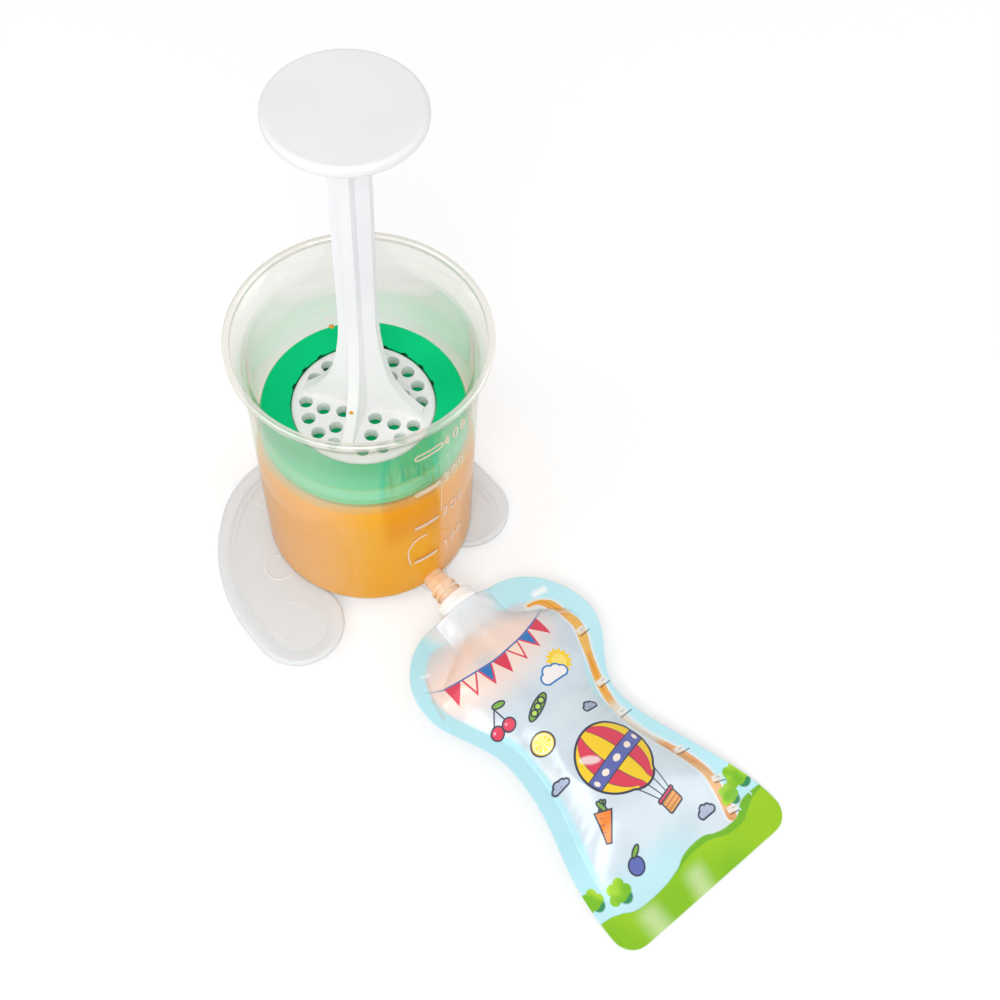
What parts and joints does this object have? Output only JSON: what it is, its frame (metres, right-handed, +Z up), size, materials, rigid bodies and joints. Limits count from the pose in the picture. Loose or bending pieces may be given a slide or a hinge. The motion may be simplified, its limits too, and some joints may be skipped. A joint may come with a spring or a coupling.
{
  "type": "food pouch filling station",
  "caption": "Clear beaker on a bean-shaped foot with a piston plunger that presses puree through an outlet into a spouted pouch.",
  "frame": {"origin": "on the beaker's vertical axis, at the level of the table that the foot stands on", "axes": "+Z up along the beaker's axis; the outlet and the pouch point along -Y; the foot's larger lobe lies towards -X"},
  "size_m": [0.114, 0.2349, 0.2147],
  "materials": {
    "clear_plastic": "clear, polished",
    "frosted_plastic": "frosted translucent",
    "white_plastic": "satin",
    "palm_plastic": "fine matt",
    "green_silicone": "satin",
    "puree": "moist",
    "spout_plastic": "natural, slightly translucent",
    "front_laminate": "printed glossy film",
    "back_laminate": "glossy film"
  },
  "bodies": {
    "station": {"beaker": "clear_plastic", "base_plate": "frosted_plastic", "puree_column": "puree"},
    "food_surface": {"puree_top": "puree"},
    "piston": {"piston_seal": "green_silicone"},
    "masher": {"masher_plate": "white_plastic", "masher_stem": "white_plastic", "palm_disc": "palm_plastic"},
    "pouch": {"pouch_spout": "spout_plastic", "pouch_front_film": "front_laminate", "pouch_back_film": "back_laminate", "pouch_food": "puree"}
  },
  "joints": [
    {"name": "plunger_press", "type": "slide", "parent": "station", "child": "food_surface", "axis": [0, 0, 1], "range_m": [-0.058, 0], "deforming": ["puree_column"]},
    {"name": "plunger_lift", "type": "slide", "parent": "food_surface", "child": "piston", "axis": [0, 0, 1], "range_m": [0, 0.06]},
    {"name": "masher_turn", "type": "hinge", "parent": "piston", "child": "masher", "pos_m": [0, 0, 0.0796], "axis": [0, 0, 1], "continuous": true},
    {"name": "pouch_pull", "type": "slide", "parent": "station", "child": "pouch", "axis": [0, -1, 0], "range_m": [0, 0.03]}
  ]
}
